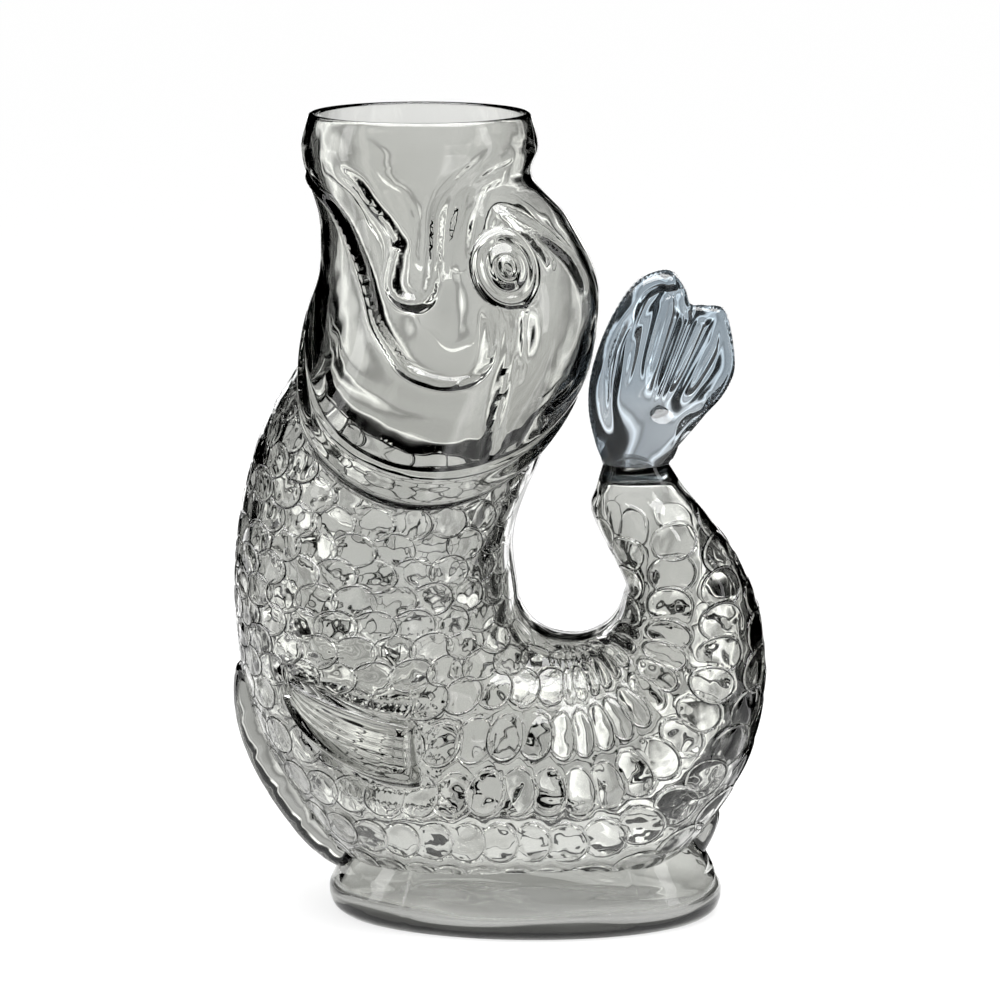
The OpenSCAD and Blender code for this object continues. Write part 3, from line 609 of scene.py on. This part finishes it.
combine(body, "UNION", [head(), foot("foot", 0.0, 0.0), eye("eye_near", 1), eye("eye_far", -1),
                        side_fin("side_fin_near", 1), side_fin("side_fin_far", -1),
                        keel_fin("belly_fin", BELLY_FIN, BELLY_FIN_OUT, BELLY_RAYS),
                        keel_fin("vent_fin", VENT_FIN, VENT_FIN_OUT, VENT_RAYS)])
combine(body, "DIFFERENCE", [inside(), foot("foot_inside", WALL, FLOOR_T)])
body.data.materials.clear()
body.data.materials.append(smoke)
body.data.shade_smooth()
body.data.set_sharp_from_angle(angle=math.radians(BODY_CREASE))
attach(body, "root")
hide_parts("jug_body")

# Tail fin: a solid two-lobed fan of blue-grey glass, pulled and ribbed with tools while soft, and fused hot
# onto the tail's end. Outline points are an angle from upright and a share of the lobe's length.
FIN_H, FIN_SIDE, FIN_T, FIN_CUP = 58.0, 52.0, 9.0, 6.0
FUSED, EDGE_R, THINNEST, NECK_H = 0.1, 1.6, 0.3, 22.0
FIN_OVER, FIN_OUTWARD, ROOT_CLOSER, FIN_CREASE = 241, 90, 0.85, 60
FOLD, FOLD_W, FOLD_D, FOLD_FROM, FOLD_FADE = 0.5, 0.04, 1.6, 0.35, 0.3
RIB_H, RIB_NARROW, LONG_RIBS, SIDE_RIBS = 1.8, 3.0, 6, 8
RIB_FROM, RIB_FADE, RIB_MARGIN, MARGIN_FADE, LAST_RIB, LAST_FADE = 0.36, 0.25, 2.5, 4.0, 0.93, 0.06
LONG_LOBE = [(-80, 0.17), (-60, 0.233), (-38.5, 0.384), (-24, 0.543), (-9.8, 0.757), (0, 0.931), (9, 1),
             (15, 0.93), (18.5, 0.86)]
SIDE_LOBE = [(23, 0.98), (30, 1), (43, 0.815), (49, 0.69), (52.5, 0.52), (53, 0.39), (58, 0.3),
             (68, 0.254), (78.7, 0.216)]
# Rolled left edge and the hollow beside it: height, distance from the outline and width
LEFT_ROLL, LEFT_SHARE = [(1.4, 3.0, 1.7), (-1.3, 6.6, 1.5)], 0.36
# Scoop at the side lobe's root, swell beside it, curl of the side lobe: height, middle and half size
FRONT_PRESSED = [(-3.4, (8.5, 18.5), (6, 7)), (1.3, (-1, 12), (5, 6)), (1.4, (24, 19.5), (3, 3)),
                 (-1.6, (19.5, 16), (2.5, 2.5))]
BACK_PRESSED = [(-1.2, (8.5, 20), (8, 8))]
RIB_DATA = ("rib_count", "rib_show")

# Tail glass: blue-grey glass worked by hand. It is nearly clear at the fused root and tinted in the blade,
# more so where it is thick; soft waves from the tools and a trace of milkiness keep its dark parts blue.
TAIL_TINT, TAIL_DEPTH, TAIL_CLEAR = "#8695a0", 70.0, 0.97
TINT_START, TINT_FULL = TAIL_TOP + 3, TAIL_TOP + 30
ROOT_TINT, BLADE_TINTS = "#f4f7f9", ("#a4b2bc", "#d3dce2")
TOOL_WAVE, TOOL_WAVE_H, TOOL_SHARE, TAIL_POLISH = 16.6667, 1.0, 0.3, 0.01
tail_glass = bpy.data.materials.new("tail_glass")
tail_glass.use_nodes = True
tree = tail_glass.node_tree
tree.nodes.clear()
place = add(tree, "ShaderNodeTexCoord").outputs["Object"]
waves = add(tree, "ShaderNodeTexNoise", {"Vector": place, "Scale": 1 / (TOOL_WAVE * MM), "Detail": 2.0})
waves = waves.outputs["Fac"]
bump = add(tree, "ShaderNodeBump", {"Height": waves, "Strength": TOOL_SHARE, "Distance": TOOL_WAVE_H * MM})
streak = add(tree, "ShaderNodeValToRGB", {"Fac": waves})
for stop, code in zip(streak.color_ramp.elements, BLADE_TINTS):
    stop.color = linear(code)
up = add(tree, "ShaderNodeSeparateXYZ", {"Vector": place}).outputs["Z"]
blade = add(tree, "ShaderNodeMapRange", {"Value": up, "From Min": TINT_START * MM,
                                         "From Max": TINT_FULL * MM}, interpolation_type="SMOOTHSTEP")
tint = add(tree, "ShaderNodeMixRGB", {"Fac": blade, "Color1": linear(ROOT_TINT), "Color2": streak})
glass = add(tree, "ShaderNodeBsdfPrincipled", {"Base Color": tint, "Roughness": TAIL_POLISH, "Normal": bump,
                                               "IOR": GLASS_IOR, "Transmission Weight": TAIL_CLEAR})
depth = add(tree, "ShaderNodeVolumeAbsorption", {"Color": linear(TAIL_TINT), "Density": TAIL_DEPTH})
add(tree, "ShaderNodeOutputMaterial", {"Surface": glass, "Volume": depth})


def rounded(t):
    """Quarter circle from 0 to 1."""
    return np.sqrt(1 - (1 - np.clip(t, 0, 1)) ** 2)


def pressed(x, z, bumps):
    """Sum of soft round bumps, each with its height, middle and half size."""
    return sum(height * np.exp(-(((x - at[0]) / size[0]) ** 2) - ((z - at[1]) / size[1]) ** 2)
               for height, at, size in bumps)


def tail_fin():
    """Fin as a closed solid, with the places of its ribs stored on it; u runs over it and v outward."""
    edge = [(share * length * math.sin(math.radians(a)), share * length * math.cos(math.radians(a)))
            for lobe, length in ((LONG_LOBE, FIN_H), (SIDE_LOBE, FIN_SIDE)) for a, share in lobe]
    u, v = np.linspace(0, 1, FIN_OVER)[None, :], np.linspace(0, 1, FIN_OUTWARD)[:, None] ** ROOT_CLOSER
    top = through(edge, u[0] * (len(edge) - 1))
    start = np.stack([-TAIL_D / 2 * np.cos(math.pi * u[0]), 0 * u[0]], -1)
    p = start + (top - start) * v[..., None]
    x, z = p[..., 0], p[..., 1]

    def off_edge(points):
        """Distance in mm from part of the outline."""
        return np.sqrt(((p[:, :, None] - points) ** 2).sum(-1).min(-1))

    whole, left = off_edge(top[::2]), off_edge(top[:int(LEFT_SHARE * len(top))])
    neck = TAIL_D / 2 * np.sin(math.pi * u)
    lean = -FIN_CUP * v * v * (2 * u - 1) ** 2
    fold = np.exp(-(((u - FOLD) / FOLD_W) ** 2)) * smooth((v - FOLD_FROM) / FOLD_FADE)
    flat = FIN_T / 2 - FOLD_D * fold
    front = flat + sum(height * np.exp(-(((left - off) / width) ** 2)) for height, off, width in LEFT_ROLL)
    faces = []
    for side, blade in ((-1, front + pressed(x, z, FRONT_PRESSED)), (1, flat + pressed(x, z, BACK_PRESSED))):
        blade = blade * rounded(whole / EDGE_R)
        half = np.maximum(THINNEST, neck + (blade - neck) * smooth(z / NECK_H))
        faces.append(np.stack([TAIL_X + x, lean + side * half, TAIL_TOP - FUSED + z], -1))
    fin = plate("tail_fin", *faces)
    # Ribs: a count across each lobe, and how strongly they show there
    count = np.where(u < FOLD, LONG_RIBS * u / FOLD, LONG_RIBS + SIDE_RIBS * (u - FOLD) / (1 - FOLD)) + 0 * v
    show = smooth((v - RIB_FROM) / RIB_FADE) * smooth((whole - RIB_MARGIN) / MARGIN_FADE)
    show = show * smooth((LAST_RIB - u) / LAST_FADE)
    for name, grid in zip(RIB_DATA, (count, show)):
        both = np.concatenate([grid.ravel(), grid.ravel()]).astype(np.float32)
        fin.data.attributes.new(name, "FLOAT", "POINT").data.foreach_set("value", both)
    return fin


def rib_height(tree, stored):
    """Node for narrow rounded ribs with a wider hollow between each two, from -0.5 to 0.5."""
    rib = add(tree, "ShaderNodeMath", {0: stored["rib_count"], 1: math.pi}, operation="MULTIPLY")
    for operation in ("SINE", "ABSOLUTE"):
        rib = add(tree, "ShaderNodeMath", {0: rib}, operation=operation)
    rib = add(tree, "ShaderNodeMath", {0: rib, 1: RIB_NARROW}, operation="POWER")
    rib = add(tree, "ShaderNodeMath", {0: rib, 1: 0.5}, operation="SUBTRACT")
    return add(tree, "ShaderNodeMath", {0: rib, 1: stored["rib_show"]}, operation="MULTIPLY")


fin = grow(tail_fin(), relief_tree("fin_ribs", RIB_DATA, rib_height), RIB_H, tail_glass)
fin.data.shade_smooth()
fin.data.set_sharp_from_angle(angle=math.radians(FIN_CREASE))
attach(fin, "root")
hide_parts("tail_fin")

# Studio floor: a wide sheet of matt white paper that the jug stands on and that is its background. It glows
# for the eye and for the glass, so that it looks near white there, and still takes a faint shadow of the jug.
FLOOR_HALF, PAPER_WHITE, PAPER_GLOW = 6.0, "#fdfdfd", 0.75


def sheet(name, corners, material, faces=None):
    """Stage piece of one face through its corners in metres, or of more faces."""
    mesh = bpy.data.meshes.new(name)
    mesh.from_pydata(corners, [], faces or [tuple(range(len(corners)))])
    mesh.materials.append(material)
    piece = bpy.data.objects.new(name, mesh)
    bpy.context.scene.collection.objects.link(piece)
    return piece


def oblong(half_x, near, far, z):
    """Corners of a level oblong from near to far in y."""
    return [(-half_x, near, z), (half_x, near, z), (half_x, far, z), (-half_x, far, z)]


paper = bpy.data.materials.new("white_paper")
paper.use_nodes = True
tree = paper.node_tree
tree.nodes.clear()
path = add(tree, "ShaderNodeLightPath").outputs
seen = path["Is Camera Ray"]
for ray in ("Is Transmission Ray", "Is Glossy Ray"):
    seen = add(tree, "ShaderNodeMath", {0: seen, 1: path[ray]}, operation="MAXIMUM")
share = add(tree, "ShaderNodeMath", {0: seen, 1: PAPER_GLOW}, operation="MULTIPLY")
matt = add(tree, "ShaderNodeBsdfDiffuse", {"Color": linear(PAPER_WHITE)})
white = add(tree, "ShaderNodeEmission", {"Color": linear("#ffffff"), "Strength": 1.0})
mix = add(tree, "ShaderNodeMixShader", {0: share, 1: matt, 2: white})
add(tree, "ShaderNodeOutputMaterial", {"Surface": mix})
sheet("floor", oblong(FLOOR_HALF, -FLOOR_HALF, FLOOR_HALF, 0.0), paper)

# Cards that only the glass sees: a light card round the jug, bright in lanes where a view looks straight
# through the glass and dark between them and higher up, two dark strips behind the foot and a black roof.
# They give the glass its bright panes, the brighter seams beside these and the dark lines along its edges.
# Lanes: direction, how far before the jug they start, how much narrower they are and where they end.
LANES = [(93, 0.1, 1.0, 9.0), (135, 0.8, 3.0, 0.58), (180, 0.8, 3.0, 9.0), (315, 0.1, 1.0, 9.0)]
# Light as a share of the peak, by degrees off a lane's middle and above the floor, both within a span
LANE_SIDES = [(0, 0.43), (5, 0.41), (8, 0.28), (10.5, 0.6), (12.5, 0.95), (15, 0.6), (17.5, 0.05), (20, 0)]
LANE_TOP = [(0, 0.42), (1.5, 0.42), (3.5, 0.95), (5, 0.6), (7, 0.08), (9.5, 0)]
PEAK, SPAN = 2.4, 30.0
CARD_START, CARD_R, CARD_Z, CARD_PARTS = 0.09, 3.0, 0.001, 72
STRIP_HALF, STRIP_Z, STRIPS = 0.07, 0.002, ((0.058, 0.063), (0.094, 0.115))
ROOF_HALF, ROOF_Z, CARD_BLACK = 1.5, 0.6, "#050505"
glow = bpy.data.materials.new("light_card")
glow.use_nodes = True
glow.cycles.emission_sampling = "NONE"
tree = glow.node_tree
tree.nodes.clear()
place = add(tree, "ShaderNodeTexCoord").outputs["Object"]
nearest = math.pi
for direction, start, narrow, end in LANES:
    c, s = math.cos(math.radians(direction)), math.sin(math.radians(direction))
    along = add(tree, "ShaderNodeVectorMath", {0: place, 1: (c, s, 0)}, operation="DOT_PRODUCT")
    along = along.outputs["Value"]
    across = add(tree, "ShaderNodeVectorMath", {0: place, 1: (-s, c, 0)}, operation="DOT_PRODUCT")
    across = add(tree, "ShaderNodeMath", {0: across.outputs["Value"]}, operation="ABSOLUTE")
    past = add(tree, "ShaderNodeMath", {0: along, 1: end}, operation="GREATER_THAN")
    along = add(tree, "ShaderNodeMath", {0: along, 1: start}, operation="ADD")
    off = add(tree, "ShaderNodeMath", {0: across, 1: along}, operation="ARCTAN2")
    off = add(tree, "ShaderNodeMath", {0: off, 1: narrow, 2: past}, operation="MULTIPLY_ADD")
    nearest = add(tree, "ShaderNodeMath", {0: off, 1: nearest}, operation="MINIMUM")
up = add(tree, "ShaderNodeSeparateXYZ", {"Vector": place}).outputs["Z"]
rise = add(tree, "ShaderNodeMath", {0: up, 1: CARD_R}, operation="ARCTAN2")
light = PEAK / LANE_TOP[0][1]
for turn, stops in ((nearest, LANE_SIDES), (rise, LANE_TOP)):
    turn = add(tree, "ShaderNodeMath", {0: turn, 1: math.degrees(1) / SPAN}, operation="MULTIPLY")
    share = add(tree, "ShaderNodeValToRGB", {"Fac": turn})
    share.color_ramp.interpolation = "EASE"
    while len(share.color_ramp.elements) < len(stops):
        share.color_ramp.elements.new(1.0)
    for stop, (degrees, level) in zip(share.color_ramp.elements, stops):
        stop.position, stop.color = degrees / SPAN, (level, level, level, 1)
    light = add(tree, "ShaderNodeMath", {0: share, 1: light}, operation="MULTIPLY")
white = add(tree, "ShaderNodeEmission", {"Color": linear("#ffffff"), "Strength": light})
add(tree, "ShaderNodeOutputMaterial", {"Surface": white})

black = bpy.data.materials.new("black_card")
black.use_nodes = True
tree = black.node_tree
tree.nodes.clear()
matt = add(tree, "ShaderNodeBsdfDiffuse", {"Color": linear(CARD_BLACK)})
add(tree, "ShaderNodeOutputMaterial", {"Surface": matt})


def card(name, corners, material, faces=None):
    """Card that only the glass sees."""
    piece = sheet(name, corners, material, faces)
    piece.visible_camera = piece.visible_diffuse = piece.visible_shadow = False


def ring_card(name, inner, outer, low, high, material):
    """Card all round the jug, level or upright."""
    n, edges = CARD_PARTS, ((inner, low), (outer, high))
    turns = np.linspace(0, 2 * math.pi, n, endpoint=False)
    corners = [(r * math.cos(a), r * math.sin(a), z) for r, z in edges for a in turns]
    card(name, corners, material, [(i, (i + 1) % n, n + (i + 1) % n, n + i) for i in range(n)])


ring_card("floor_card", CARD_START, CARD_R, CARD_Z, CARD_Z, glow)
ring_card("far_card", CARD_R, CARD_R, 0.0, CARD_R, glow)
for near, far in STRIPS:
    card("dark_strip", oblong(STRIP_HALF, near, far, STRIP_Z), black)
card("black_roof", oblong(ROOF_HALF, -ROOF_HALF, ROOF_HALF, ROOF_Z), black)

# Light: an even white room, a wide softbox overhead and a narrow one at each side for the bright streaks.
# Softboxes: place, aim, size in metres and power in watts
SOFTBOXES = {
    "softbox_left": ((-0.5, -0.15, 0.28), (0, 0, 0.12), (0.1, 0.4), 0.3),
    "softbox_right": ((0.5, -0.15, 0.28), (0, 0, 0.12), (0.1, 0.4), 0.3),
    "softbox_top": ((0.02, -0.05, 0.59), (0.02, -0.05, 0.1), (0.6, 0.46), 8.0),
}
world = bpy.data.worlds.new("studio")
bpy.context.scene.world = world
world.use_nodes = True
tree = world.node_tree
tree.nodes.clear()
back = add(tree, "ShaderNodeBackground", {"Color": linear("#ffffff"), "Strength": 1.0})
add(tree, "ShaderNodeOutputWorld", {"Surface": back})
for name, (at, aim, size, power) in SOFTBOXES.items():
    lamp = bpy.data.lights.new(name, "AREA")
    lamp.shape, lamp.size, lamp.size_y, lamp.energy = "RECTANGLE", size[0], size[1], power
    piece = bpy.data.objects.new(name, lamp)
    piece.location = at
    piece.rotation_euler = (Vector(aim) - Vector(at)).to_track_quat("-Z", "Y").to_euler()
    bpy.context.scene.collection.objects.link(piece)

# Camera: a long lens in front of the near flank and a little above the jug, at the photograph's angle.
# Angles are in degrees, distances in metres and the lens in mm.
AZIMUTH, PITCH, DISTANCE, LENS, SENSOR = 3.0, 11.0, 1.2518, 152.1, 36.0
AIM = Vector((-0.00753, 0.0, 0.12507))
lens = bpy.data.cameras.new("camera")
lens.lens, lens.sensor_width = LENS, SENSOR
camera = bpy.data.objects.new("camera", lens)
a, e = math.radians(AZIMUTH), math.radians(PITCH)
away = Vector((math.sin(a) * math.cos(e), -math.cos(a) * math.cos(e), math.sin(e)))
camera.location = AIM + DISTANCE * away
camera.rotation_euler = (math.pi / 2 - e, 0, a)
bpy.context.scene.collection.objects.link(camera)
bpy.context.scene.camera = camera
bpy.context.scene.view_settings.view_transform = "Standard"
